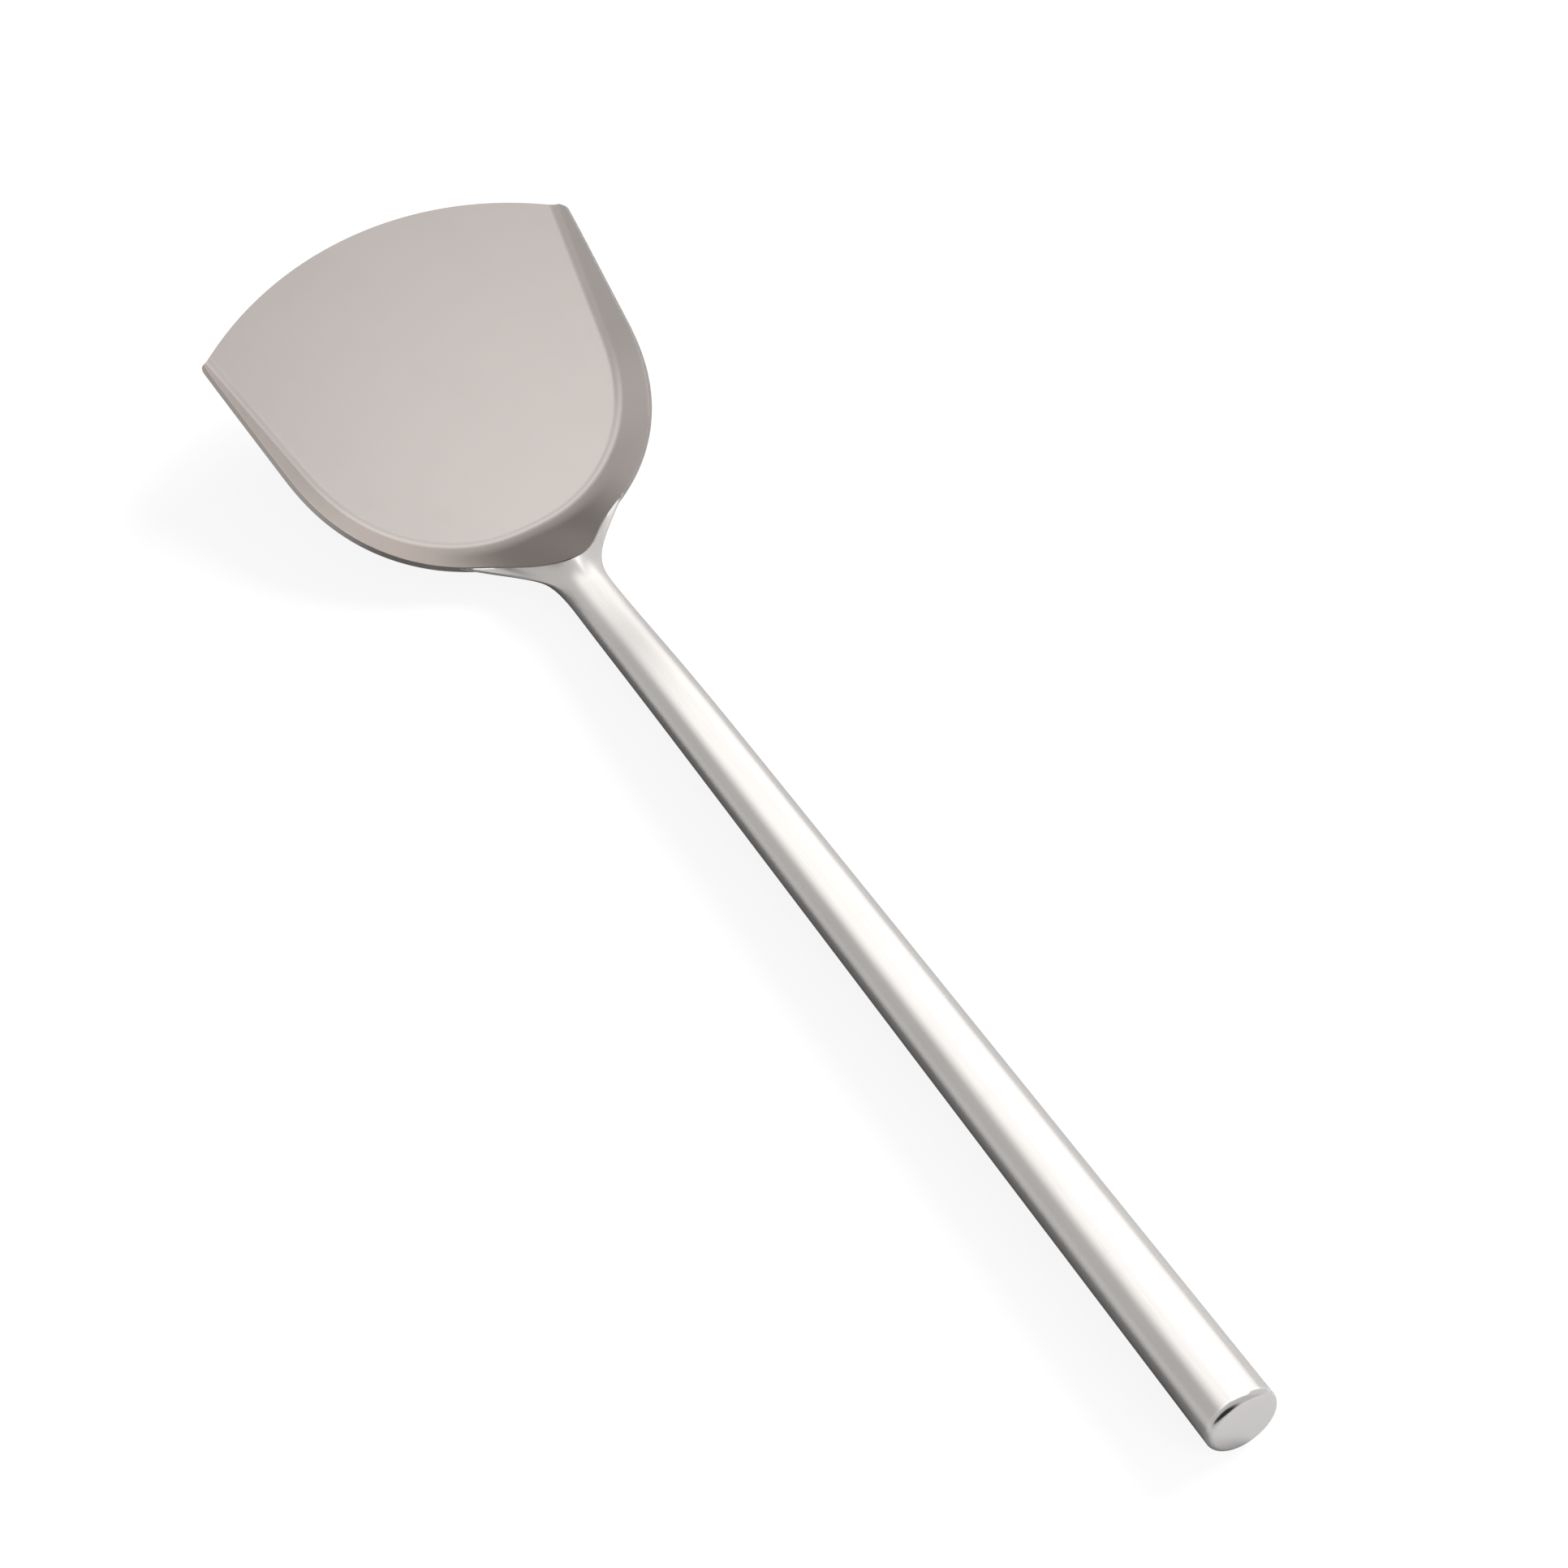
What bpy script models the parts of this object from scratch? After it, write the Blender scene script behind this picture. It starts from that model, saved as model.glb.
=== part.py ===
"""Wok spatula: a pressed sheet pan blade welded to a hollow, tapered handle with a closed butt.

Metres, +Z up. The spatula lies on a table as it comes to rest: on the heel of its blade and on the
butt of its handle. +Y runs from the handle to the blade's front edge, and +X to the user's right.
The origin is on the table, below the middle of the bounding box.

The pieces are drawn in the blade's own frame, whose origin is at the back of the blade's floor,
where floor and back wall would meet in a sharp line. An empty then tips them into the rest pose.
"""

import math

import bmesh
import bpy
import numpy as np
from mathutils import Vector

# Blade sheet and floor. The floor's outline is drawn to the sharp line between floor and wall.
sheet_thickness = 0.0012
blade_width = 0.1000
front_bow = 0.0161
floor_depth = 0.0720
floor_front_half_width = 0.0471
floor_shoulder_half_width = 0.0412
floor_shoulder_depth = 0.0385
heel_length_power = 2.60
heel_width_power = 2.15

# Raised wall round the sides and the back, which climbs to the handle's neck.
wall_corner_height = 0.0018
wall_back_height = 0.0089
wall_neck_height = 0.0215
neck_rise_half_width = 0.0078
side_wall_angle = math.radians(41.0)
neck_wall_angle = math.radians(49.0)
bend_radius = 0.0040
corner_radius = 0.0025
edge_bevel = 0.00025

# Handle tube. Its axis crosses the heel at a height above the floor and rises at the handle angle.
handle_angle = math.radians(19.0)
axis_height = 0.0073
handle_length = 0.3040
neck_run = 0.0287
neck_radius = 0.0060
neck_waist = 0.0003
neck_sag = 0.0015
neck_waist_run = 0.0280
butt_radius = 0.0088
tube_wall = 0.0010

# Mouth of the tube, flattened into a fishtail that lies on the outside of the back wall.
mouth_half_width = 0.0180
mouth_middle_share = 0.51
mouth_half_height_share = 0.37
mouth_wall = 0.0015
neck_bend_reach = 0.0134
neck_bend_slant = 0.0095
wing_lift = 0.0030
neck_tightness_share = 0.86

# End cap, with a skirt inside the tube, and the welds.
cap_thickness = 0.0012
cap_edge_radius = 0.0015
cap_rim_depth = 0.0026
cap_skirt_length = 0.0050
cap_skirt_wall = 0.0010
weld_groove = 0.0008
weld_leg = 0.0012
weld_crown = 0.0006
clearance = 0.0003

# Step for the slopes that are measured on the wall, and mesh density.
probe_step = 0.0003
flank_steps = 16
heel_steps = 34
floor_steps = 7
bend_steps = 5
wall_steps = 6
round_steps = 48
neck_steps = 12
tube_steps = 9
edge_steps = 4
outline_samples = 600

UP = Vector((0, 0, 1))


def clear_scene():
    for obj in list(bpy.data.objects):
        bpy.data.objects.remove(obj, do_unlink=True)


def make_collection(name):
    collection = bpy.data.collections.new(name)
    bpy.context.scene.collection.children.link(collection)
    return collection


def steel(name, colour, roughness):
    material = bpy.data.materials.new(name)
    material.use_nodes = True
    shader = material.node_tree.nodes["Principled BSDF"]
    shader.inputs["Base Color"].default_value = (*colour, 1)
    shader.inputs["Metallic"].default_value = 1
    shader.inputs["Roughness"].default_value = roughness
    material.diffuse_color = (*colour, 1)
    return material


def add_piece(name, mesh, material, collection, parent):
    mesh.materials.append(material)
    mesh.shade_smooth()
    piece = bpy.data.objects.new(name, mesh)
    collection.objects.link(piece)
    piece.parent = parent
    return piece


def mesh_of_rings(name, rings, closed_sections):
    """A mesh whose rings of points are joined one to the next. Points at one place become one."""
    mesh = bpy.data.meshes.new(name)
    shape = bmesh.new()
    rows = []
    for ring in rings:
        row = []
        for point in ring:
            same = row and (row[-1].co - point).length < edge_bevel / round_steps
            row.append(row[-1] if same else shape.verts.new(point))
        rows.append(row)
    count = len(rows[0])
    last = count if closed_sections else count - 1
    closed_run = rings[0] is rings[-1]
    if closed_run:
        for vertex in set(rows[-1]):
            shape.verts.remove(vertex)
        rows[-1] = rows[0]
    for near, far in zip(rows, rows[1:]):
        for i in range(last):
            j = (i + 1) % count
            corners = list(dict.fromkeys((near[i], near[j], far[j], far[i])))
            if len(corners) > 2:
                shape.faces.new(corners)
    bmesh.ops.recalc_face_normals(shape, faces=shape.faces)
    shape.faces.ensure_lookup_table()
    if not closed_sections and shape.faces[0].normal.z < 0:
        bmesh.ops.reverse_faces(shape, faces=shape.faces)
    shape.to_mesh(mesh)
    shape.free()
    return mesh


# The front edge is an arc through both corners.
front_radius = ((blade_width / 2) ** 2 + front_bow**2) / (2 * front_bow)
front_centre_y = floor_depth + front_bow - front_radius


def floor_outline():
    """(run, x, y) of the right half of the floor's outline. run is the length from the heel."""
    turn = np.linspace(math.pi / 2, 0, outline_samples)
    back_share = np.sin(turn) ** (2 / heel_length_power)
    y = floor_shoulder_depth * (1 - back_share)
    y = np.append(y, floor_depth + front_bow)
    narrowing = (floor_front_half_width - floor_shoulder_half_width) / (
        floor_depth - floor_shoulder_depth
    )
    x = floor_shoulder_half_width + narrowing * (y - floor_shoulder_depth)
    x[:-1] *= np.cos(turn) ** (2 / heel_width_power)
    x[0] = 0
    run = np.append(0, np.cumsum(np.hypot(np.diff(x), np.diff(y))))
    return run, x, y


outline_run, outline_x, outline_y = floor_outline()


def flank_run():
    """Length of the floor's outline from the heel to the front arc."""
    run = np.linspace(0, outline_run[-1], outline_samples)
    x = np.interp(run, outline_run, outline_x)
    y = np.interp(run, outline_run, outline_y)
    return float(np.interp(0, np.hypot(x, y - front_centre_y) - front_radius, run))


front_run = flank_run()


class Section:
    """The blade's cross-section at one place on the outline. run is negative on the left."""

    def __init__(self, run):
        side = math.copysign(1, run)
        step = outline_run[-1] / outline_samples
        runs = [abs(run), max(0, abs(run) - step), min(outline_run[-1], abs(run) + step)]
        x, before_x, after_x = (float(v) for v in np.interp(runs, outline_run, outline_x))
        y, before_y, after_y = (float(v) for v in np.interp(runs, outline_run, outline_y))
        if abs(run) < step:
            after_y = before_y
        tangent = Vector((side * (after_x - before_x), after_y - before_y, 0)).normalized()
        self.crease = Vector((side * x, y, 0))
        self.out = side * Vector((tangent.y, -tangent.x, 0))
        climb = math.exp(-((x / neck_rise_half_width) ** 2))
        back_share = min(1, max(0, (front_run - abs(run)) / front_run))
        self.height = wall_corner_height + (wall_back_height - wall_corner_height) * back_share
        self.height += (wall_neck_height - wall_back_height) * climb
        self.angle = side_wall_angle + (neck_wall_angle - side_wall_angle) * climb
        self.up_wall = self.out * math.cos(self.angle) + UP * math.sin(self.angle)
        self.slope = self.height / math.sin(self.angle)
        self.bend_start = bend_radius * math.tan(self.angle / 2)

    def wall(self, slope):
        return self.crease + self.up_wall * slope

    def bend(self, turn_share):
        turn = self.angle * turn_share
        sideways = bend_radius * math.sin(turn) - self.bend_start
        return self.crease + self.out * sideways + UP * bend_radius * (1 - math.cos(turn))


def front_skew():
    """Run along the outline for each unit outwards on the front arc, at the corner."""
    section = Section(front_run)
    outwards = section.crease - Vector((0, front_centre_y, 0))
    along_arc = Vector((outwards.y, -outwards.x, 0)).normalized()
    backwards = Vector((section.out.y, -section.out.x, 0))
    return along_arc.dot(backwards) / along_arc.dot(section.out)


arc_skew = front_skew()
front_section = Section(front_run)


def soften_corner(run, slope):
    """Draws a place on the wall near the front corner in, so that the corner gets its radius."""
    corner_run = front_section.slope * math.cos(front_section.angle) * arc_skew
    corner = Vector((corner_run, front_section.slope))
    along_rim = Vector((1, 0))
    along_front = -corner.normalized()
    half_angle = along_rim.angle(along_front) / 2
    bisector = (along_rim + along_front).normalized()
    centre = corner + bisector * corner_radius / math.sin(half_angle)
    reach = Vector((run, slope)) - centre
    if reach.dot(along_rim) >= 0 or reach.dot(along_front) >= 0:
        return run, slope
    front_normal = Vector((along_front.y, -along_front.x))
    facing = reach.normalized()
    point = centre + reach * max(facing.y, facing.dot(front_normal))
    return point.x, point.y


def skewed_run(run, outwards):
    """Run of a point outwards of the outline. The first stations follow the front arc."""
    follow = max(0, 1 - (front_run - run) / (2 * bend_radius))
    return run - outwards * arc_skew * follow


front_start = Section(skewed_run(front_run, -front_section.bend_start)).bend(0)


def blade_row(run):
    """One line of points on the blade's upper side, from its middle to the rim."""
    plain = Section(run)
    start = Section(skewed_run(run, -plain.bend_start)).bend(0)
    bow = (front_centre_y + front_radius - front_start.y) * start.y / front_start.y
    row = []
    for i in range(floor_steps):
        share = i / floor_steps
        drop = front_radius - math.sqrt(front_radius**2 - (share * start.x) ** 2)
        full_drop = front_radius - math.sqrt(front_radius**2 - start.x**2)
        drop_share = drop / full_drop if full_drop else 1
        row.append(Vector((share * start.x, start.y + bow * (1 - drop_share), 0)))
    for i in range(bend_steps + 1):
        turn_share = i / bend_steps
        outwards = (plain.bend(turn_share) - plain.crease).dot(plain.out)
        row.append(Section(skewed_run(run, outwards)).bend(turn_share))
    for i in range(1, wall_steps + 1):
        slope = plain.bend_start + (plain.slope - plain.bend_start) * i / wall_steps
        place = skewed_run(run, slope * math.cos(plain.angle))
        behind, slope = soften_corner(front_run - place, slope)
        row.append(Section(front_run - behind).wall(slope))
    return row


def make_blade(collection, parent):
    shoulder_run = float(np.interp(floor_shoulder_depth, outline_y, outline_run))
    runs = [
        front_run - (front_run - shoulder_run) * (i / flank_steps) ** 2
        for i in range(flank_steps)
    ]
    runs += [shoulder_run * (1 - i / heel_steps) for i in range(heel_steps + 1)]
    rows = [blade_row(run) for run in runs]
    for point in rows[-1]:
        point.x = 0
    mesh = mesh_of_rings("blade", rows, False)
    material = steel("blade_steel", (0.62, 0.60, 0.58), 0.38)
    blade = add_piece("blade", mesh, material, collection, parent)
    mirror = blade.modifiers.new("both_halves", "MIRROR")
    mirror.merge_threshold = edge_bevel / round_steps
    shell = blade.modifiers.new("sheet", "SOLIDIFY")
    shell.thickness = sheet_thickness
    shell.offset = -1
    shell.use_even_offset = True
    edges = blade.modifiers.new("eased_edges", "BEVEL")
    edges.width = edge_bevel
    edges.limit_method = "ANGLE"
    edges.angle_limit = math.radians(60)
    return blade


# Directions along the handle's axis to the butt, and square to it upwards.
handle_direction = Vector((0, -math.cos(handle_angle), math.sin(handle_angle)))
handle_up = Vector((0, math.sin(handle_angle), math.cos(handle_angle)))


def waist_share(run):
    return math.exp(-(((run - neck_run) / neck_waist_run) ** 2))


def axis_point(run):
    """A place on the tube's axis, straight but for a slight sag at the neck. run starts at the heel."""
    return UP * axis_height + handle_direction * run - handle_up * neck_sag * waist_share(run)


def tube_radius(run):
    """An even taper, drawn in by a slight waist at the neck."""
    share = (run - neck_run) / (handle_length - neck_run)
    return neck_radius + (butt_radius - neck_radius) * share - neck_waist * waist_share(run)


def round_ring(run, radius):
    centre = axis_point(run)
    ring = []
    for i in range(round_steps):
        turn = math.tau * i / round_steps
        ring.append(centre + radius * (math.cos(turn) * Vector((1, 0, 0)) + math.sin(turn) * handle_up))
    return ring


def lifted(run, slope, lift):
    """A point outside the wall: lift is its distance from the blade's upper side."""
    step = probe_step
    across = Section(run).wall(slope + step) - Section(run).wall(slope - step)
    rise_share = slope / Section(run).slope
    left, right = (Section(run + s) for s in (-step, step))
    along = right.wall(right.slope * rise_share) - left.wall(left.slope * rise_share)
    return Section(run).wall(slope) + along.cross(across).normalized() * lift


def mouth_place(turn, grow=0):
    """(run, slope) on the back wall of one place on the mouth's outline, moved out by grow."""

    def place(angle):
        run = mouth_half_width * math.cos(angle)
        share = mouth_middle_share + mouth_half_height_share * math.sin(angle)
        return Vector((run, share * Section(run).slope))

    step = math.tau / outline_samples
    along = place(turn + step) - place(turn - step)
    return place(turn) + Vector((along.y, -along.x)).normalized() * grow


mouth_lift = sheet_thickness + clearance


def neck_rings(radius, reach, inset):
    """Rings from the mouth on the back wall to the round neck."""
    neck = round_ring(neck_run, radius)
    rings = [[] for _ in range(neck_steps + 1)]
    for i, end in enumerate(neck):
        turn = math.tau * i / round_steps
        place = mouth_place(turn, -inset)
        start = lifted(*place, mouth_lift)
        wing = lifted(*place, mouth_lift + wing_lift * math.cos(turn) ** 2) - start
        bend = end - handle_direction * (reach - neck_bend_slant * math.sin(turn))
        first = start.lerp(bend, neck_tightness_share) + wing
        second = end.lerp(bend, neck_tightness_share)
        for j, ring in enumerate(rings):
            t = j / neck_steps
            ring.append(
                start * (1 - t) ** 3
                + first * 3 * t * (1 - t) ** 2
                + second * 3 * t**2 * (1 - t)
                + end * t**3
            )
    return rings


tube_end_run = handle_length - cap_rim_depth - clearance


def make_handle_tube(collection, parent):
    radius = tube_radius(neck_run)
    outer = neck_rings(radius, neck_bend_reach, 0)
    inner = neck_rings(radius - tube_wall, neck_bend_reach + tube_wall, mouth_wall)
    for i in range(1, tube_steps + 1):
        run = neck_run + (tube_end_run - neck_run) * (i / tube_steps) ** 2
        inner.append(round_ring(run, tube_radius(run) - tube_wall))
        if i < tube_steps:
            outer.append(round_ring(run, tube_radius(run)))
    groove_run = tube_end_run - weld_groove
    outer.append(round_ring(groove_run, tube_radius(groove_run)))
    outer.append(round_ring(tube_end_run, tube_radius(tube_end_run) - weld_groove))
    rings = outer + inner[::-1]
    rings.append(rings[0])
    mesh = mesh_of_rings("handle_tube", rings, True)
    material = steel("handle_steel", (0.75, 0.73, 0.71), 0.20)
    return add_piece("handle_tube", mesh, material, collection, parent)


def weld_section(before, edge, after, beyond, normal):
    """The bead's section at one place on the mouth, between the wall and the tube's side."""
    along = (after - before).normalized()
    away = (normal - along * normal.dot(along)).normalized()
    out = along.cross(away)
    rise = beyond - edge
    half = math.atan2(rise.dot(away), rise.dot(out)) / 2
    middle = out * math.cos(half) + away * math.sin(half)
    corner = edge + middle * clearance / math.sin(half)
    wall_toe = edge + out * (out.dot(corner - edge) + weld_leg)
    tube_toe = corner + (out * math.cos(2 * half) + away * math.sin(2 * half)) * weld_leg
    crown = wall_toe.lerp(tube_toe, 1 / 2) + middle * weld_crown
    return [corner, wall_toe, crown, tube_toe]


def make_neck_weld(collection, parent):
    """The bead under the mouth, from one tip of the fishtail round below to the other."""
    lines = list(zip(*neck_rings(tube_radius(neck_run), neck_bend_reach, 0)))
    rings = []
    for i in range(round_steps // 2, round_steps + 1):
        before, (edge, *line), after = (lines[(i + s) % round_steps] for s in (-1, 0, 1))
        normal = lifted(*mouth_place(math.tau * i / round_steps), mouth_lift + weld_leg) - edge
        beyond = next(point for point in line if (point - edge).length > 2 * weld_leg)
        rings.append(weld_section(before[0], edge, after[0], beyond, normal))
    ends = [[sum(ring, Vector()) / len(ring)] * len(ring) for ring in (rings[0], rings[-1])]
    rings = [ends[0], *rings, ends[1]]
    mesh = mesh_of_rings("neck_weld", rings, True)
    material = steel("weld_steel", (0.66, 0.64, 0.62), 0.32)
    return add_piece("neck_weld", mesh, material, collection, parent)


def add_turned(name, profile, material, collection, parent):
    """A turned piece about the handle's axis. Profile heights are measured out from the butt."""
    mesh = bpy.data.meshes.new(name)
    joins = [(i, i + 1) for i in range(len(profile) - 1)]
    mesh.from_pydata([(radius, 0, height) for radius, height in profile], joins, [])
    piece = add_piece(name, mesh, material, collection, parent)
    piece.location = axis_point(handle_length)
    piece.rotation_euler = (math.pi / 2 - handle_angle, 0, 0)
    screw = piece.modifiers.new("turned", "SCREW")
    screw.steps = round_steps
    screw.render_steps = round_steps
    screw.use_merge_vertices = True
    screw.merge_threshold = edge_bevel / round_steps
    return piece


def make_end_cap(collection, parent):
    skirt_radius = tube_radius(tube_end_run) - tube_wall - clearance
    profile = [(0, 0)]
    for i in range(edge_steps + 1):
        turn = math.pi / 2 * i / edge_steps
        across = butt_radius - cap_edge_radius * (1 - math.sin(turn))
        profile.append((across, -cap_edge_radius * (1 - math.cos(turn))))
    profile += [
        (butt_radius, weld_groove - cap_rim_depth),
        (butt_radius - weld_groove, -cap_rim_depth),
        (skirt_radius, -cap_rim_depth),
        (skirt_radius, -cap_rim_depth - cap_skirt_length),
        (skirt_radius - cap_skirt_wall, -cap_rim_depth - cap_skirt_length),
        (skirt_radius - cap_skirt_wall, -cap_thickness),
        (0, -cap_thickness),
    ]
    material = steel("cap_steel", (0.75, 0.73, 0.71), 0.24)
    return add_turned("end_cap", profile, material, collection, parent)


def make_cap_weld(collection, parent):
    seam = -cap_rim_depth - clearance / 2
    half_width = weld_groove + clearance / 2 - clearance * math.sqrt(2)
    profile = [
        (butt_radius - half_width, seam),
        (butt_radius, seam + half_width),
        (butt_radius, seam - half_width),
        (butt_radius - half_width, seam),
    ]
    material = steel("cap_weld_steel", (0.66, 0.64, 0.62), 0.32)
    return add_turned("cap_weld", profile, material, collection, parent)


def rest_pose():
    """(tilt, location) that tips the spatula back on to its heel and its butt.

    Both touch the table with a round edge, so the table is the line below both circles.
    """
    heel = Vector((bend_radius * math.tan(neck_wall_angle / 2), bend_radius))
    heel_circle = bend_radius + sheet_thickness
    rim_run = handle_length - cap_edge_radius
    rim = axis_point(rim_run) - handle_up * (butt_radius - cap_edge_radius)
    butt = Vector((rim.y, rim.z))
    between = butt - heel
    tilt = math.atan2(between.y, -between.x)
    tilt += math.asin((heel_circle - cap_edge_radius) / between.length)
    up = heel_circle - heel.x * math.sin(tilt) - heel.y * math.cos(tilt)
    front_reach = (floor_depth + front_bow) * math.cos(tilt) + sheet_thickness * math.sin(tilt)
    end = axis_point(rim_run)
    butt_reach = end.y * math.cos(tilt) - end.z * math.sin(tilt) - cap_edge_radius
    butt_reach -= (butt_radius - cap_edge_radius) * abs(math.sin(handle_angle - tilt))
    return tilt, Vector((0, -(front_reach + butt_reach) / 2, up))


clear_scene()
spatula = make_collection("wok_spatula")
rest = bpy.data.objects.new("rest_pose", None)
spatula.objects.link(rest)
rest_tilt, rest.location = rest_pose()
rest.rotation_euler = (rest_tilt, 0, 0)
for make in (make_blade, make_handle_tube, make_neck_weld, make_end_cap, make_cap_weld):
    make(spatula, rest)
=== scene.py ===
"""Looks of the wok spatula: finer meshes, steel finishes, floor, soft light and camera.

Metres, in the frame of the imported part. The meshes are drawn in the blade's own frame, as the solids
are, from the same dimensions, and one matrix then lays them in the rest pose.
"""

import math

import bmesh
import bpy
import numpy as np
from mathutils import Matrix, Vector


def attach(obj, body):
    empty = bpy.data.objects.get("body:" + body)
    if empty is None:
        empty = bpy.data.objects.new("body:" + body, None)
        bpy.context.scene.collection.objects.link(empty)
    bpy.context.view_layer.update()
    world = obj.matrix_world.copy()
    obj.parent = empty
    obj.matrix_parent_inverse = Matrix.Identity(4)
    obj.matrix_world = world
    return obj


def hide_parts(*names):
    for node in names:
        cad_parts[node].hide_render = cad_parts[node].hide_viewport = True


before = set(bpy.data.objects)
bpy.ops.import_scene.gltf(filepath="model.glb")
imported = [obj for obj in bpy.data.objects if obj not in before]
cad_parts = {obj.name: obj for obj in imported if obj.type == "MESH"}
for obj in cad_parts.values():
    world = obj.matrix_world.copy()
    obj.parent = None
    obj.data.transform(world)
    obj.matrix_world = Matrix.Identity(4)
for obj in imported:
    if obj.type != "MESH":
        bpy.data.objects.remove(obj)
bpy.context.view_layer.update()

# Blade.
sheet_thickness = 0.0012
blade_width = 0.1000
front_bow = 0.0161
floor_depth = 0.0720
floor_front_half_width = 0.0471
floor_shoulder_half_width = 0.0412
floor_shoulder_depth = 0.0385
heel_length_power = 2.60
heel_width_power = 2.15
wall_corner_height = 0.0018
wall_back_height = 0.0089
wall_neck_height = 0.0194
neck_rise_half_width = 0.0078
side_wall_angle = math.radians(41.0)
neck_wall_angle = math.radians(47.0)
bend_radius = 0.0040
corner_radius = 0.0025
edge_round = 0.00035

# Handle.
handle_angle = math.radians(19.0)
axis_height = 0.0073
handle_length = 0.3040
neck_run = 0.0287
neck_radius = 0.0060
neck_waist = 0.0003
neck_sag = 0.0015
neck_waist_run = 0.0280
butt_radius = 0.0088
tube_wall = 0.0010
collar_half_width = 0.0180
collar_low_share = 0.13
collar_top_share = 0.32
collar_wing_power = 6
collar_low_power = 0.8
collar_blend_share = 0.25
collar_rim_lift = 0.0002
collar_rim_rise = 0.0003
collar_wall = 0.0013
neck_bend_reach = 0.0134
neck_bend_slant = 0.0095
wing_lift = 0.0030
neck_tightness_share = 0.86
neck_top_ease = 0.20

# Cap and welds.
cap_edge_radius = 0.0017
cap_dome = 0.0002
cap_thickness = 0.0012
seam_from_butt = 0.0029
seam_half_width = 0.0005
bead_leg = 0.0009
bead_hollow = 0.0001
bead_bury = 0.0002
bead_toe_power = 4

# Rest pose of the blade's frame.
rest_tilt = math.radians(18.79858)
rest_place = Vector((0, 0.111294, 0.000826))

# Mesh density.
probe_step = 0.0003
merge_distance = probe_step / 100
pole_radius = probe_step / 10
tangent_steps = 600
flank_crowding = 1.3
tube_crowding = 1.5
edge_segments = 4
edge_angle = math.radians(60)
sharp_angle = math.radians(50)
flank_steps = 44
heel_steps = 96
floor_steps = 16
bend_steps = 12
wall_steps = 12
round_steps = 144
neck_steps = 36
tube_steps = 40
edge_steps = 12
bead_steps = 6
outline_samples = 2400

UP = Vector((0, 0, 1))
ACROSS = Vector((1, 0, 0))
REST = Matrix.Translation(rest_place) @ Matrix.Rotation(rest_tilt, 4, "X")


# Shapes.


def mesh_of_rings(name, rings, closed_sections, closed_run):
    """A mesh whose rings of points are joined one to the next. Points at one place become one."""
    mesh = bpy.data.meshes.new(name)
    shape = bmesh.new()
    rows = []
    for ring in rings:
        row = []
        for point in ring:
            same = row and (row[-1].co - point).length < merge_distance
            row.append(row[-1] if same else shape.verts.new(point))
        rows.append(row)
    if closed_run:
        rows.append(rows[0])
    count = len(rows[0])
    last = count if closed_sections else count - 1
    for near, far in zip(rows, rows[1:]):
        for i in range(last):
            j = (i + 1) % count
            corners = list(dict.fromkeys((near[i], near[j], far[j], far[i])))
            if len(corners) > 2:
                shape.faces.new(corners)
    bmesh.ops.recalc_face_normals(shape, faces=shape.faces)
    shape.faces.ensure_lookup_table()
    if not closed_sections and shape.faces[0].normal.z < 0:
        bmesh.ops.reverse_faces(shape, faces=shape.faces)
    shape.to_mesh(mesh)
    shape.free()
    return mesh


front_radius = ((blade_width / 2) ** 2 + front_bow**2) / (2 * front_bow)
front_centre_y = floor_depth + front_bow - front_radius


def floor_outline():
    """(run, x, y) of the right half of the floor's outline. run is the length from the heel."""
    turn = np.linspace(math.pi / 2, 0, outline_samples)
    y = floor_shoulder_depth * (1 - np.sin(turn) ** (2 / heel_length_power))
    y = np.append(y, floor_depth + front_bow)
    narrowing = (floor_front_half_width - floor_shoulder_half_width) / (
        floor_depth - floor_shoulder_depth
    )
    x = floor_shoulder_half_width + narrowing * (y - floor_shoulder_depth)
    x[:-1] *= np.cos(turn) ** (2 / heel_width_power)
    x[0] = 0
    run = np.append(0, np.cumsum(np.hypot(np.diff(x), np.diff(y))))
    return run, x, y


outline_run, outline_x, outline_y = floor_outline()


def flank_run():
    """Length of the floor's outline from the heel to the front arc."""
    run = np.linspace(0, outline_run[-1], outline_samples)
    x = np.interp(run, outline_run, outline_x)
    y = np.interp(run, outline_run, outline_y)
    return float(np.interp(0, np.hypot(x, y - front_centre_y) - front_radius, run))


front_run = flank_run()


class Section:
    """The blade's cross-section at one place on the outline. run is negative on the left."""

    def __init__(self, run):
        side = math.copysign(1, run)
        step = outline_run[-1] / tangent_steps
        runs = [abs(run), max(0, abs(run) - step), min(outline_run[-1], abs(run) + step)]
        x, before_x, after_x = (float(v) for v in np.interp(runs, outline_run, outline_x))
        y, before_y, after_y = (float(v) for v in np.interp(runs, outline_run, outline_y))
        if abs(run) < step:
            before_x = -float(np.interp(step - abs(run), outline_run, outline_x))
            before_y = float(np.interp(step - abs(run), outline_run, outline_y))
        tangent = Vector((side * (after_x - before_x), after_y - before_y, 0)).normalized()
        self.crease = Vector((side * x, y, 0))
        self.out = side * Vector((tangent.y, -tangent.x, 0))
        climb = math.exp(-((x / neck_rise_half_width) ** 2))
        back_share = min(1, max(0, (front_run - abs(run)) / front_run))
        self.height = wall_corner_height + (wall_back_height - wall_corner_height) * back_share
        self.height += (wall_neck_height - wall_back_height) * climb
        self.angle = side_wall_angle + (neck_wall_angle - side_wall_angle) * climb
        self.up_wall = self.out * math.cos(self.angle) + UP * math.sin(self.angle)
        self.slope = self.height / math.sin(self.angle)
        self.bend_start = bend_radius * math.tan(self.angle / 2)

    def wall(self, slope):
        return self.crease + self.up_wall * slope

    def bend(self, turn_share):
        turn = self.angle * turn_share
        sideways = bend_radius * math.sin(turn) - self.bend_start
        return self.crease + self.out * sideways + UP * bend_radius * (1 - math.cos(turn))


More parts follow.
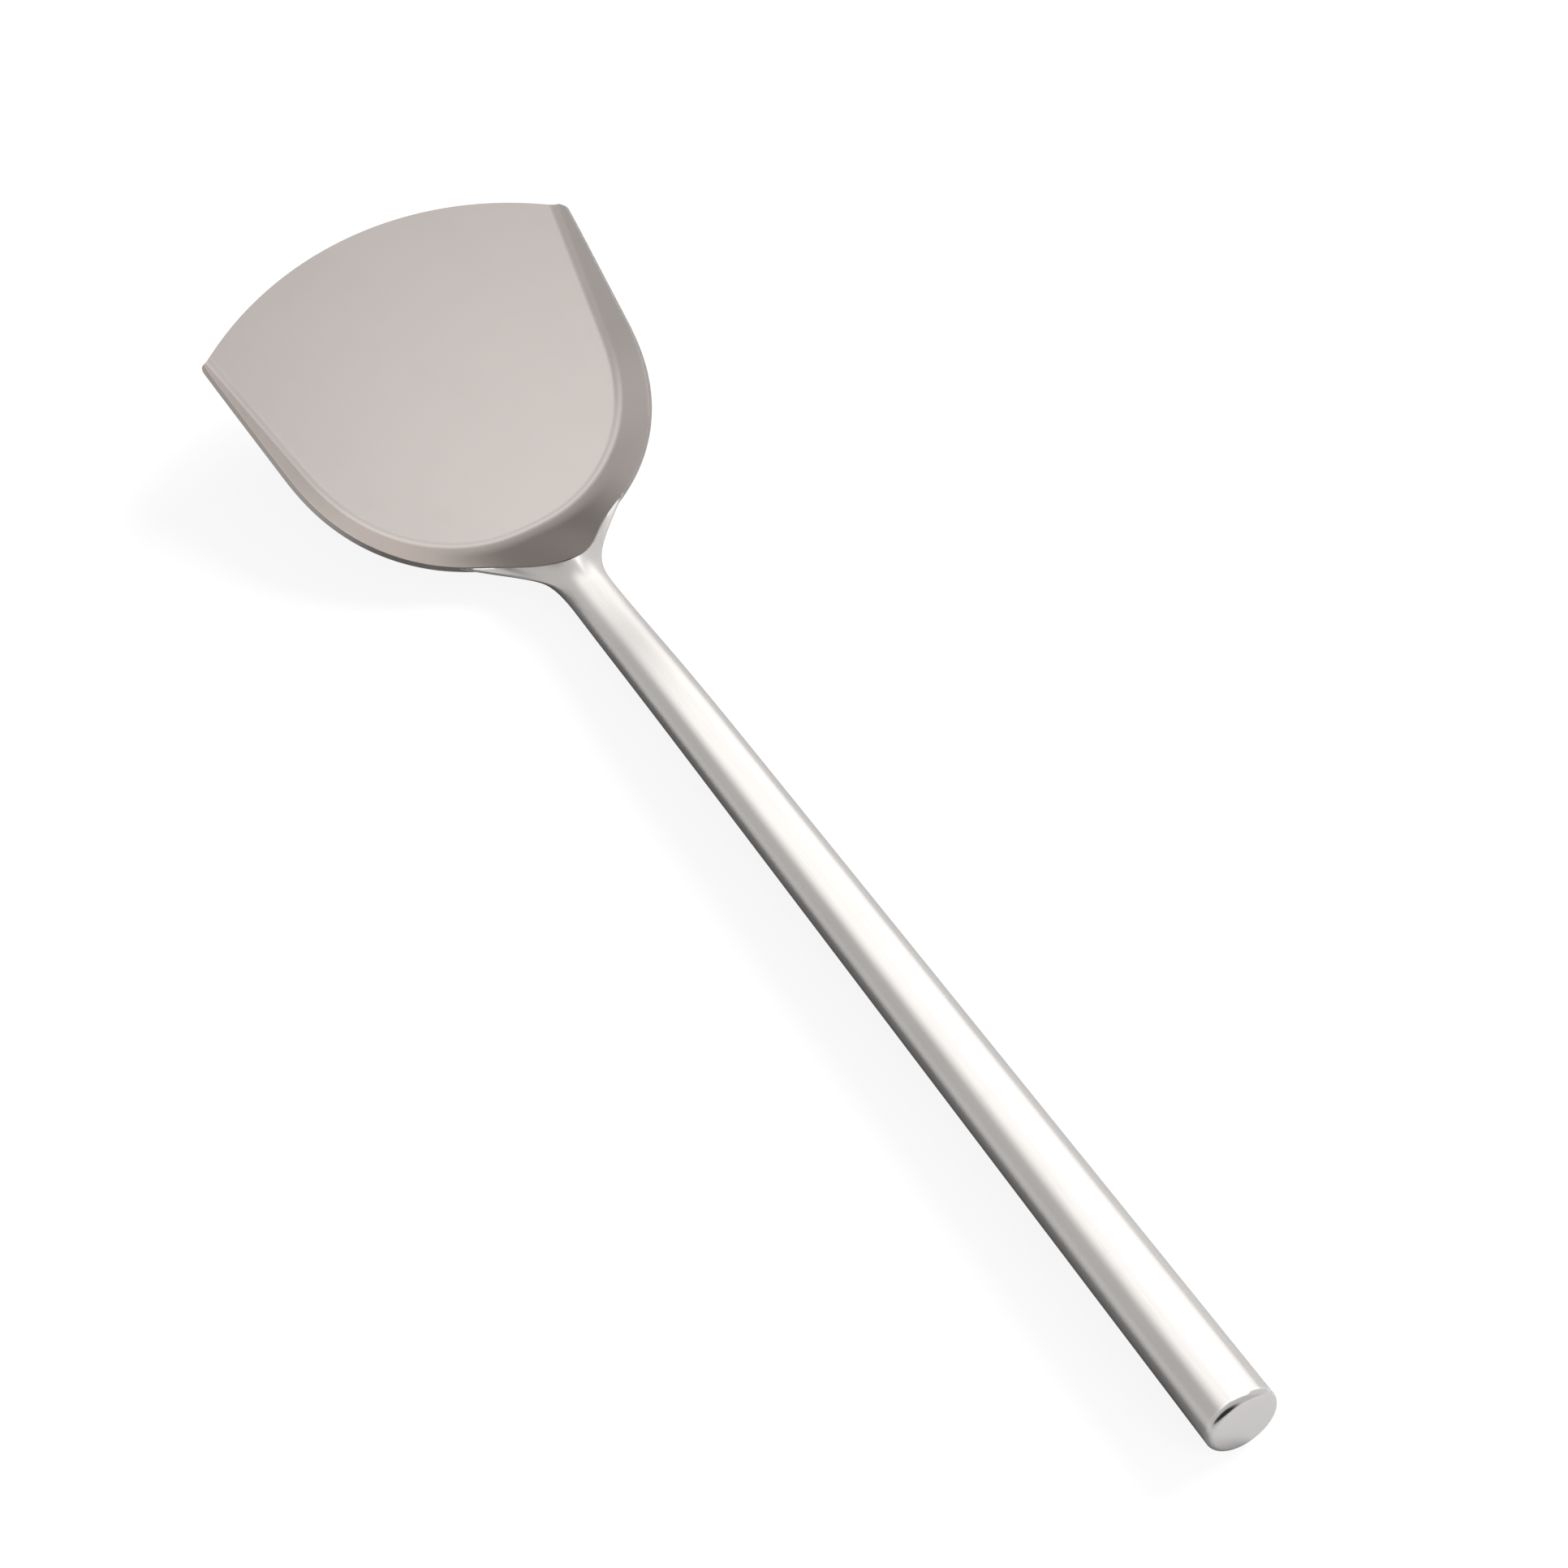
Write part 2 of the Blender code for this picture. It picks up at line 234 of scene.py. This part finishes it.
def front_skew():
    """Run along the outline for each unit outwards on the front arc, at the corner."""
    section = Section(front_run)
    outwards = section.crease - Vector((0, front_centre_y, 0))
    along_arc = Vector((outwards.y, -outwards.x, 0)).normalized()
    backwards = Vector((section.out.y, -section.out.x, 0))
    return along_arc.dot(backwards) / along_arc.dot(section.out)


arc_skew = front_skew()
front_section = Section(front_run)


def soften_corner(run, slope):
    """Draws a place on the wall near the front corner in, so that the corner gets its radius."""
    corner_run = front_section.slope * math.cos(front_section.angle) * arc_skew
    corner = Vector((corner_run, front_section.slope))
    along_rim = Vector((1, 0))
    along_front = -corner.normalized()
    half_angle = along_rim.angle(along_front) / 2
    bisector = (along_rim + along_front).normalized()
    centre = corner + bisector * corner_radius / math.sin(half_angle)
    reach = Vector((run, slope)) - centre
    if reach.dot(along_rim) >= 0 or reach.dot(along_front) >= 0:
        return run, slope
    front_normal = Vector((along_front.y, -along_front.x))
    facing = reach.normalized()
    point = centre + reach * max(facing.y, facing.dot(front_normal))
    return point.x, point.y


def skewed_run(run, outwards):
    """Run of a point outwards of the outline. The first stations follow the front arc."""
    follow = max(0, 1 - (front_run - run) / (2 * bend_radius))
    return run - outwards * arc_skew * follow


front_start = Section(skewed_run(front_run, -front_section.bend_start)).bend(0)


def blade_row(run):
    """One line of points on the blade's upper side, from its middle to the rim."""
    plain = Section(run)
    start = Section(skewed_run(run, -plain.bend_start)).bend(0)
    bow = (front_centre_y + front_radius - front_start.y) * start.y / front_start.y
    full_drop = front_radius - math.sqrt(front_radius**2 - start.x**2)
    row = []
    for i in range(floor_steps):
        share = i / floor_steps
        drop = front_radius - math.sqrt(front_radius**2 - (share * start.x) ** 2)
        drop_share = drop / full_drop if full_drop else 1
        row.append(Vector((share * start.x, start.y + bow * (1 - drop_share), 0)))
    for i in range(bend_steps + 1):
        turn_share = i / bend_steps
        outwards = (plain.bend(turn_share) - plain.crease).dot(plain.out)
        row.append(Section(skewed_run(run, outwards)).bend(turn_share))
    for i in range(1, wall_steps + 1):
        slope = plain.bend_start + (plain.slope - plain.bend_start) * i / wall_steps
        place = skewed_run(run, slope * math.cos(plain.angle))
        behind, slope = soften_corner(front_run - place, slope)
        row.append(Section(front_run - behind).wall(slope))
    return row


def add_piece(name, mesh, material, nodes):
    """Lays a finished mesh in the rest pose, in place of the solids that it stands for."""
    mesh.transform(REST)
    mesh.materials.append(material)
    mesh.shade_smooth()
    if name != "blade_sheet":
        mesh.set_sharp_from_angle(angle=sharp_angle)
    piece = bpy.data.objects.new(name, mesh)
    bpy.context.scene.collection.objects.link(piece)
    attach(piece, "root")
    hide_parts(*nodes)
    return piece


def make_blade(material):
    """The pan: its upper side, mirrored, thickened downwards and with rounded edges."""
    shoulder_run = float(np.interp(floor_shoulder_depth, outline_y, outline_run))
    runs = [
        front_run - (front_run - shoulder_run) * (i / flank_steps) ** flank_crowding
        for i in range(flank_steps)
    ]
    runs += [shoulder_run * (1 - i / heel_steps) for i in range(heel_steps + 1)]
    rows = [blade_row(run) for run in runs]
    for point in rows[-1]:
        point.x = 0
    mesh = mesh_of_rings("blade_sheet", rows, False, False)
    blade = add_piece("blade_sheet", mesh, material, ["blade"])
    mirror = blade.modifiers.new("both_halves", "MIRROR")
    mirror.merge_threshold = merge_distance
    shell = blade.modifiers.new("sheet", "SOLIDIFY")
    shell.thickness = sheet_thickness
    shell.offset = -1
    edges = blade.modifiers.new("round_edges", "BEVEL")
    edges.width = edge_round
    edges.segments = edge_segments
    edges.limit_method = "ANGLE"
    edges.angle_limit = edge_angle
    normals = blade.modifiers.new("normals", "WEIGHTED_NORMAL")
    normals.keep_sharp = True


handle_direction = Vector((0, -math.cos(handle_angle), math.sin(handle_angle)))
handle_up = Vector((0, math.sin(handle_angle), math.cos(handle_angle)))


def waist_share(run):
    """How much of the neck's waist and sag is felt at a place along the handle."""
    return math.exp(-(((run - neck_run) / neck_waist_run) ** 2))


def axis_point(run):
    return UP * axis_height + handle_direction * run - handle_up * neck_sag * waist_share(run)


def tube_radius(run):
    share = (run - neck_run) / (handle_length - neck_run)
    return neck_radius + (butt_radius - neck_radius) * share - neck_waist * waist_share(run)


def ring_about(centre, radius):
    """A circle square to the handle."""
    ring = []
    for i in range(round_steps):
        turn = math.tau * i / round_steps
        ring.append(centre + radius * (math.cos(turn) * ACROSS + math.sin(turn) * handle_up))
    return ring


def lifted(run, slope, lift):
    """A point outside the wall: lift is its distance from the blade's upper side."""
    step = probe_step
    across = Section(run).wall(slope + step) - Section(run).wall(slope - step)
    rise_share = slope / Section(run).slope
    left, right = (Section(run + s) for s in (-step, step))
    along = right.wall(right.slope * rise_share) - left.wall(left.slope * rise_share)
    return Section(run).wall(slope) + along.cross(across).normalized() * lift


def smoothstep(low, high, value):
    t = min(1, max(0, (value - low) / (high - low)))
    return t * t * (3 - 2 * t)


def collar_start(turn, inset):
    """A place on the collar's edge: along the rim on top, on the outside of the wall below."""
    across = math.cos(turn)
    high = smoothstep(-collar_blend_share, collar_blend_share, math.sin(turn))
    fan = collar_top_share + (1 - collar_top_share) * abs(across) ** (collar_wing_power - 1)
    run = (collar_half_width - inset) * across * (1 - high * (1 - fan))
    full = Section(run).slope
    low = full * (1 - (1 - collar_low_share) * max(0, -math.sin(turn)) ** collar_low_power)
    slope = low * (1 - high) + (full + collar_rim_rise - inset) * high + inset * (1 - high)
    lift = (sheet_thickness - bead_bury) * (1 - high) + collar_rim_lift * high
    return run, slope, lift


def neck_rings(radius, reach, inset):
    """Rings from the collar on the back wall to the round neck."""
    neck = ring_about(axis_point(neck_run), radius)
    rings = [[] for _ in range(neck_steps + 1)]
    for i, end in enumerate(neck):
        turn = math.tau * i / round_steps
        run, slope, lift = collar_start(turn, inset)
        start = lifted(run, slope, lift)
        wing = lifted(run, slope, lift + wing_lift * math.cos(turn) ** 2) - start
        bend = end - handle_direction * (reach - neck_bend_slant * math.sin(turn))
        tight = neck_tightness_share - neck_top_ease * max(0, math.sin(turn))
        first = start.lerp(bend, tight) + wing
        second = end.lerp(bend, tight)
        for j, ring in enumerate(rings):
            t = j / neck_steps
            ring.append(
                start * (1 - t) ** 3
                + first * 3 * t * (1 - t) ** 2
                + second * 3 * t**2 * (1 - t)
                + end * t**3
            )
    return rings


tube_end_run = handle_length - seam_from_butt - seam_half_width


def make_handle(material):
    """The hollow tube: its outside from the collar to the butt, and its inside back again."""
    radius = tube_radius(neck_run)
    outer = neck_rings(radius, neck_bend_reach, 0)
    inner = neck_rings(radius - tube_wall, neck_bend_reach + tube_wall, collar_wall)
    for i in range(1, tube_steps + 1):
        run = neck_run + (tube_end_run - neck_run) * (i / tube_steps) ** tube_crowding
        inner.append(ring_about(axis_point(run), tube_radius(run) - tube_wall))
        outer.append(ring_about(axis_point(run), tube_radius(run)))
    mesh = mesh_of_rings("handle_shell", outer + inner[::-1], True, True)
    add_piece("handle_shell", mesh, material, ["handle_tube"])


def turned(name, profile, material, nodes):
    """A turned piece about the handle's axis, from (radius, height out from the butt)."""
    rings = []
    for radius, height in profile:
        rings.append(ring_about(axis_point(handle_length) + handle_direction * height, radius))
    mesh = mesh_of_rings(name, rings, True, True)
    add_piece(name, mesh, material, nodes)


def make_cap(material):
    """The pressed cup that closes the butt: a slightly dished face, a rounded rim and a flat inside."""
    profile = [(pole_radius, 0)]
    face = butt_radius - cap_edge_radius
    for i in range(1, edge_steps):
        profile.append((face * i / edge_steps, -cap_dome * (i / edge_steps) ** 2))
    for i in range(edge_steps + 1):
        turn = math.pi / 2 * i / edge_steps
        out = face + cap_edge_radius * math.sin(turn)
        profile.append((out, -cap_dome - cap_edge_radius * (1 - math.cos(turn))))
    seam = seam_half_width - seam_from_butt
    profile += [
        (tube_radius(handle_length + seam), seam),
        (tube_radius(handle_length + seam) - tube_wall, seam),
        (face, -cap_thickness - cap_dome),
        (pole_radius, -cap_thickness - cap_dome),
    ]
    turned("butt_cap", profile, material, ["end_cap"])


def make_cap_bead(material):
    """The ground bead between tube and cap, flush with both."""
    near, far = (s * seam_half_width - seam_from_butt for s in (1, -1))
    outer = [(tube_radius(handle_length + place), place) for place in (near, far)]
    inner = [(radius - tube_wall, place) for radius, place in reversed(outer)]
    turned("cap_bead", outer + inner, material, ["cap_weld"])


def bead_section(before, edge, after, beyond, normal):
    """A hollow fillet between the wall and the handle's flare, square to the collar's edge."""
    along = (after - before).normalized()
    away = (normal - along * normal.dot(along)).normalized()
    out = along.cross(away)
    rise = beyond - edge
    wedge = math.atan2(rise.dot(away), rise.dot(out))
    up_flare = out * math.cos(wedge) + away * math.sin(wedge)
    middle = out * math.cos(wedge / 2) + away * math.sin(wedge / 2)
    section = [edge - middle * bead_bury]
    for i in range(bead_steps + 1):
        share = i / bead_steps
        point = edge + out * bead_leg * (1 - share) + up_flare * bead_leg * share
        hollow = bead_hollow * 4 * share * (1 - share)
        toe = bead_bury * abs(2 * share - 1) ** bead_toe_power
        section.append(point - middle * hollow - away * toe * (1 - share))
    return section


def make_neck_bead(material):
    """The smooth weld under the flare, from one tip of the fishtail round below to the other."""
    lines = list(zip(*neck_rings(tube_radius(neck_run), neck_bend_reach, 0)))
    rings = []
    for i in range(round_steps // 2, round_steps + 1):
        before, line, after = (lines[(i + s) % round_steps] for s in (-1, 0, 1))
        run, slope, lift = collar_start(math.tau * i / round_steps, 0)
        normal = lifted(run, slope, lift + bead_leg) - line[0]
        beyond = next(point for point in line[1:] if (point - line[0]).length > bead_leg)
        rings.append(bead_section(before[0], line[0], after[0], beyond, normal))
    ends = [[sum(ring, Vector()) / len(ring)] * len(ring) for ring in (rings[0], rings[-1])]
    mesh = mesh_of_rings("neck_bead", [ends[0], *rings, ends[1]], True, False)
    add_piece("neck_bead", mesh, material, ["neck_weld"])


# Finishes. Places are in the blade's frame, in metres, and bands are where a noise starts and is full.
grain_band = (0.3, 0.7)
cloud_scale = 38.0
cloud_band = (0.35, 0.65)
tint_band = (0.3, 0.6)
tint_share = 0.965
smudge_scale = 140.0
smudge_band = (0.55, 0.7)
roughness_spread = 0.04
# The handle is rougher towards the neck from the grinding, and its colour is painted lighter there as a
# highlight.
ground_and_highlight_band_y = (-0.050, -0.024)
neck_highlight_share = 1.13
# Painted shade: the blade's raised wall beside the neck is darker, fading across x and down z.
wall_shade_band_x = (0.009, 0.028)
wall_shade_band_z = (0.0004, 0.0045)


def add_node(tree, kind, inputs=None, **settings):
    node = tree.nodes.new(kind)
    for name, value in settings.items():
        setattr(node, name, value)
    for name, value in (inputs or {}).items():
        if isinstance(value, bpy.types.NodeSocket):
            tree.links.new(value, node.inputs[name])
        else:
            node.inputs[name].default_value = value
    return node


def value_math(tree, operation, first, second=0.0):
    return add_node(tree, "ShaderNodeMath", {0: first, 1: second}, operation=operation).outputs[0]


def map_range(tree, value, low, high, out_low, out_high, kind="SMOOTHSTEP"):
    inputs = {"Value": value, "From Min": low, "From Max": high, "To Min": out_low, "To Max": out_high}
    return add_node(tree, "ShaderNodeMapRange", inputs, interpolation_type=kind).outputs[0]


def mapped(tree, place, **changes):
    return add_node(tree, "ShaderNodeMapping", {"Vector": place, **changes}).outputs[0]


def noise(tree, place, scale, detail, roughness):
    inputs = {"Vector": place, "Scale": scale, "Detail": detail, "Roughness": roughness}
    return add_node(tree, "ShaderNodeTexNoise", inputs).outputs[0]


def mix_colours(tree, share, first, second):
    inputs = {"Factor": share, "A": first, "B": second}
    return add_node(tree, "ShaderNodeMix", inputs, data_type="RGBA").outputs["Result"]


def scaled_colour(colour, share):
    return (*(min(1, c * share) for c in colour), 1)


def blade_place(tree):
    """The place on the metal in the blade's frame: the rest pose undone."""
    upright = REST.inverted()
    place = add_node(tree, "ShaderNodeTexCoord").outputs["Object"]
    return mapped(tree, place, Location=upright.translation, Rotation=upright.to_euler())


def wall_shade_mask(tree, place):
    """Mask of the painted shade: one on the blade's raised wall at the neck, fading along the wall and
    down to the floor.
    """
    parts = add_node(tree, "ShaderNodeSeparateXYZ", {"Vector": place}).outputs
    aside = map_range(tree, value_math(tree, "ABSOLUTE", parts["X"]), *wall_shade_band_x, 1.0, 0.0)
    raised = map_range(tree, parts["Z"], *wall_shade_band_z, 0.0, 1.0)
    return value_math(tree, "MULTIPLY", aside, raised)


def steel(name, colour, roughness, grain_scale, grain_depth, grain_turn=0.0, ground=0.0, painted_wall_shade=0.0):
    """Brushed or satin stainless steel. grain_scale stretches the grain along x, y and z.

    ground is the roughness that the grinding at the neck adds, and the colour is painted lighter there as
    a highlight. The last argument is the share of the colour that is left on the blade's wall beside the
    neck, a painted shade.
    """
    material = bpy.data.materials.new(name)
    material.use_nodes = True
    tree = material.node_tree
    shader = tree.nodes["Principled BSDF"]
    shader.inputs["Metallic"].default_value = 1.0
    place = blade_place(tree)
    grain_place = mapped(tree, mapped(tree, place, Rotation=(grain_turn, 0, 0)), Scale=grain_scale)
    grain = noise(tree, grain_place, 1.0, 3.0, 0.6)
    cloud = noise(tree, place, cloud_scale, 2.0, 0.5)
    smudge = noise(tree, place, smudge_scale, 4.0, 0.6)

    spread = roughness_spread
    rough = map_range(tree, grain, *grain_band, roughness - spread, roughness + spread, "LINEAR")
    rough = value_math(tree, "ADD", rough, map_range(tree, cloud, *cloud_band, -spread / 2, spread / 2))
    rough = value_math(tree, "ADD", rough, map_range(tree, smudge, *smudge_band, 0.0, spread / 2))
    tint = map_range(tree, cloud, *tint_band, 0.0, 1.0)
    base = mix_colours(tree, tint, scaled_colour(colour, tint_share), (*colour, 1))
    if ground:
        y = add_node(tree, "ShaderNodeSeparateXYZ", {"Vector": place}).outputs["Y"]
        rough = value_math(tree, "ADD", rough, map_range(tree, y, *ground_and_highlight_band_y, 0.0, ground))
        # Painted highlight: the colour is lighter towards the neck.
        highlight_share = map_range(tree, y, *ground_and_highlight_band_y, 0.0, 1.0)
        base = mix_colours(tree, highlight_share, base, scaled_colour(colour, neck_highlight_share))
    # Painted shade: darker colour on the blade's wall beside the neck.
    if painted_wall_shade:
        base = mix_colours(tree, wall_shade_mask(tree, place), base, scaled_colour(colour, painted_wall_shade))
    tree.links.new(rough, shader.inputs["Roughness"])
    tree.links.new(base, shader.inputs["Base Color"])
    bump = add_node(tree, "ShaderNodeBump", {"Height": grain, "Strength": 1.0, "Distance": grain_depth})
    tree.links.new(bump.outputs[0], shader.inputs["Normal"])
    return material


# World light: one soft box behind and above, a faint field on the right and a dark one at the front left.
# A band holds the cosines to the field's direction between which the light changes.
base_level = 0.50
dark_level = 0.01
box_level = 0.75
right_level = 0.12
seen_level = 1.0
above_direction = (0.39, 0.0, 0.92)
above_band = (0.05, 0.64)
back_direction = (0.0, 1.0, 0.0)
back_band = (0.32, 0.48)
far_back_band = (0.62, 0.78)
right_direction = (0.96, 0.10, 0.25)
right_band = (0.60, 0.90)
dark_direction = (-0.55, -0.80, 0.20)
dark_band = (0.66, 0.88)

# Floor. Tones are its colour to the camera and to everything else, and shares are its own glow.
floor_reach = 3.0
floor_drop = 0.0001
floor_roughness = 0.35
floor_tone_seen = 0.55
floor_tone_else = 0.17
floor_glow_seen_share = 0.90
floor_glow_mirrored_share = 0.01

# Lamps. The key and front lamps light the floor alone: the metal doesn't mirror them.
key_direction = (0.82, 0.20, 0.50)
key_angle = math.radians(30)
key_strength = 15.0
front_place = (0.12, -0.42, 0.14)
front_aim = (0.01, -0.21, 0.0)
front_size = 0.20
front_radiance = 10.0
overhead_place = (0.16, 0.00, 0.42)
overhead_aim = (0.0, 0.10, 0.0)
overhead_size = 0.40
overhead_radiance = 0.72

# Camera, as it was fitted to the photograph.
camera_place = (-0.3970805, -0.7762788, 1.0726326)
camera_right = Vector((0.859029, -0.509686, -0.047837))
camera_up = Vector((0.419767, 0.647813, 0.635716))
camera_lens = 139.907
sensor_width = 36.0
clip_start = 0.05
clip_end = 20.0

WHITE = (1, 1, 1, 1)


def light_field(tree, facing, direction, band, level_out, level_in):
    """A level that changes with the angle to a direction."""
    inputs = {0: facing, 1: direction}
    cosine = add_node(tree, "ShaderNodeVectorMath", inputs, operation="DOT_PRODUCT").outputs["Value"]
    return map_range(tree, cosine, *band, level_out, level_in)


def make_world():
    """Soft studio light on the metal. The camera sees plain white."""
    world = bpy.data.worlds.new("soft_studio")
    bpy.context.scene.world = world
    world.use_nodes = True
    tree = world.node_tree
    tree.nodes.clear()
    facing = add_node(tree, "ShaderNodeTexCoord").outputs["Generated"]
    above = light_field(tree, facing, above_direction, above_band, 0.0, 1.0)
    back = light_field(tree, facing, back_direction, back_band, 0.0, box_level)
    far_back = light_field(tree, facing, back_direction, far_back_band, 1.0, 0.0)
    right = light_field(tree, facing, right_direction, right_band, 0.0, right_level)
    base = light_field(tree, facing, dark_direction, dark_band, base_level, dark_level)
    box = value_math(tree, "MULTIPLY", value_math(tree, "MULTIPLY", above, back), far_back)
    level = value_math(tree, "ADD", value_math(tree, "ADD", box, right), base)
    light = add_node(tree, "ShaderNodeBackground", {"Color": WHITE, "Strength": level})
    seen = add_node(tree, "ShaderNodeBackground", {"Color": WHITE, "Strength": seen_level})
    camera_ray = add_node(tree, "ShaderNodeLightPath").outputs["Is Camera Ray"]
    mix = add_node(tree, "ShaderNodeMixShader", {0: camera_ray, 1: light.outputs[0], 2: seen.outputs[0]})
    add_node(tree, "ShaderNodeOutputWorld", {"Surface": mix.outputs[0]})


def make_floor():
    """A pale floor that the camera sees as almost white, with the spatula's soft shadow."""
    mesh = bpy.data.meshes.new("floor")
    corners = [(x * floor_reach, y * floor_reach, 0) for x, y in ((-1, -1), (1, -1), (1, 1), (-1, 1))]
    mesh.from_pydata(corners, [], [(0, 1, 2, 3)])
    floor = bpy.data.objects.new("floor", mesh)
    floor.location.z = -floor_drop
    bpy.context.scene.collection.objects.link(floor)
    material = bpy.data.materials.new("pale_floor")
    material.use_nodes = True
    tree = material.node_tree
    tree.nodes.clear()
    path = add_node(tree, "ShaderNodeLightPath").outputs
    tone = map_range(tree, path["Is Camera Ray"], 0.0, 1.0, floor_tone_else, floor_tone_seen, "LINEAR")
    inputs = {"Base Color": tone, "Roughness": floor_roughness}
    paint = add_node(tree, "ShaderNodeBsdfPrincipled", inputs)
    glow = add_node(tree, "ShaderNodeEmission", {"Color": WHITE, "Strength": 1.0})
    mirrored = value_math(tree, "MAXIMUM", path["Is Glossy Ray"], path["Is Transmission Ray"])
    share = value_math(tree, "MULTIPLY", path["Is Camera Ray"], floor_glow_seen_share)
    mirrored_share = value_math(tree, "MULTIPLY", mirrored, floor_glow_mirrored_share)
    share = value_math(tree, "ADD", share, mirrored_share)
    mix = add_node(tree, "ShaderNodeMixShader", {0: share, 1: paint.outputs[0], 2: glow.outputs[0]})
    add_node(tree, "ShaderNodeOutputMaterial", {"Surface": mix.outputs[0]})
    mesh.materials.append(material)


def make_lamp(name, place, aim, size, radiance):
    """A square soft lamp."""
    data = bpy.data.lights.new(name, "AREA")
    data.shape = "SQUARE"
    data.size = size
    data.energy = radiance * math.pi * size**2
    lamp = bpy.data.objects.new(name, data)
    bpy.context.scene.collection.objects.link(lamp)
    lamp.location = place
    lamp.rotation_euler = (Vector(aim) - Vector(place)).to_track_quat("-Z", "Y").to_euler()
    return lamp


def make_sun(name, direction, angle, strength):
    """A broad, far light, so that the whole floor is lit alike."""
    data = bpy.data.lights.new(name, "SUN")
    data.angle = angle
    data.energy = strength
    sun = bpy.data.objects.new(name, data)
    sun.rotation_euler = Vector(direction).to_track_quat("Z", "Y").to_euler()
    bpy.context.scene.collection.objects.link(sun)
    return sun


def make_camera():
    data = bpy.data.cameras.new("camera")
    data.sensor_width = sensor_width
    data.sensor_fit = "HORIZONTAL"
    data.lens = camera_lens
    data.clip_start = clip_start
    data.clip_end = clip_end
    camera = bpy.data.objects.new("camera", data)
    bpy.context.scene.collection.objects.link(camera)
    back = camera_right.cross(camera_up)
    turn = Matrix((camera_right, camera_up, back)).transposed().to_4x4()
    camera.matrix_world = Matrix.Translation(camera_place) @ turn
    bpy.context.scene.camera = camera


blade_finish = steel(
    "satin_blade",
    colour=(0.65, 0.597, 0.566),
    roughness=0.36,
    grain_scale=(2600, 2600, 2600),
    grain_depth=0.000003,
    # the wall beside the neck is painted darker, as shade
    painted_wall_shade=0.46,
)
handle_finish = steel(
    "polished_handle",
    colour=(0.84, 0.81, 0.785),
    roughness=0.17,
    grain_scale=(2500, 40, 2500),
    grain_depth=0.0000006,
    grain_turn=handle_angle,
    # ground also paints a lighter highlight on the neck
    ground=0.16,
)
# The cap's satin roughness is real; its colour, lighter than the handle's steel, is a painted highlight on
# its face.
cap_finish = steel(
    "satin_cap",
    colour=(0.93, 0.905, 0.885),
    roughness=0.21,
    grain_scale=(1800, 1800, 1800),
    grain_depth=0.0000006,
)

make_blade(blade_finish)
make_handle(handle_finish)
make_cap(cap_finish)
make_cap_bead(handle_finish)
make_neck_bead(handle_finish)
make_world()
make_floor()
key = make_sun("key", key_direction, key_angle, key_strength)
front = make_lamp("front", front_place, front_aim, front_size, front_radiance)
key.visible_glossy = False
front.visible_glossy = False
make_lamp("overhead", overhead_place, overhead_aim, overhead_size, overhead_radiance)
make_camera()

bpy.context.scene.view_settings.view_transform = "Standard"
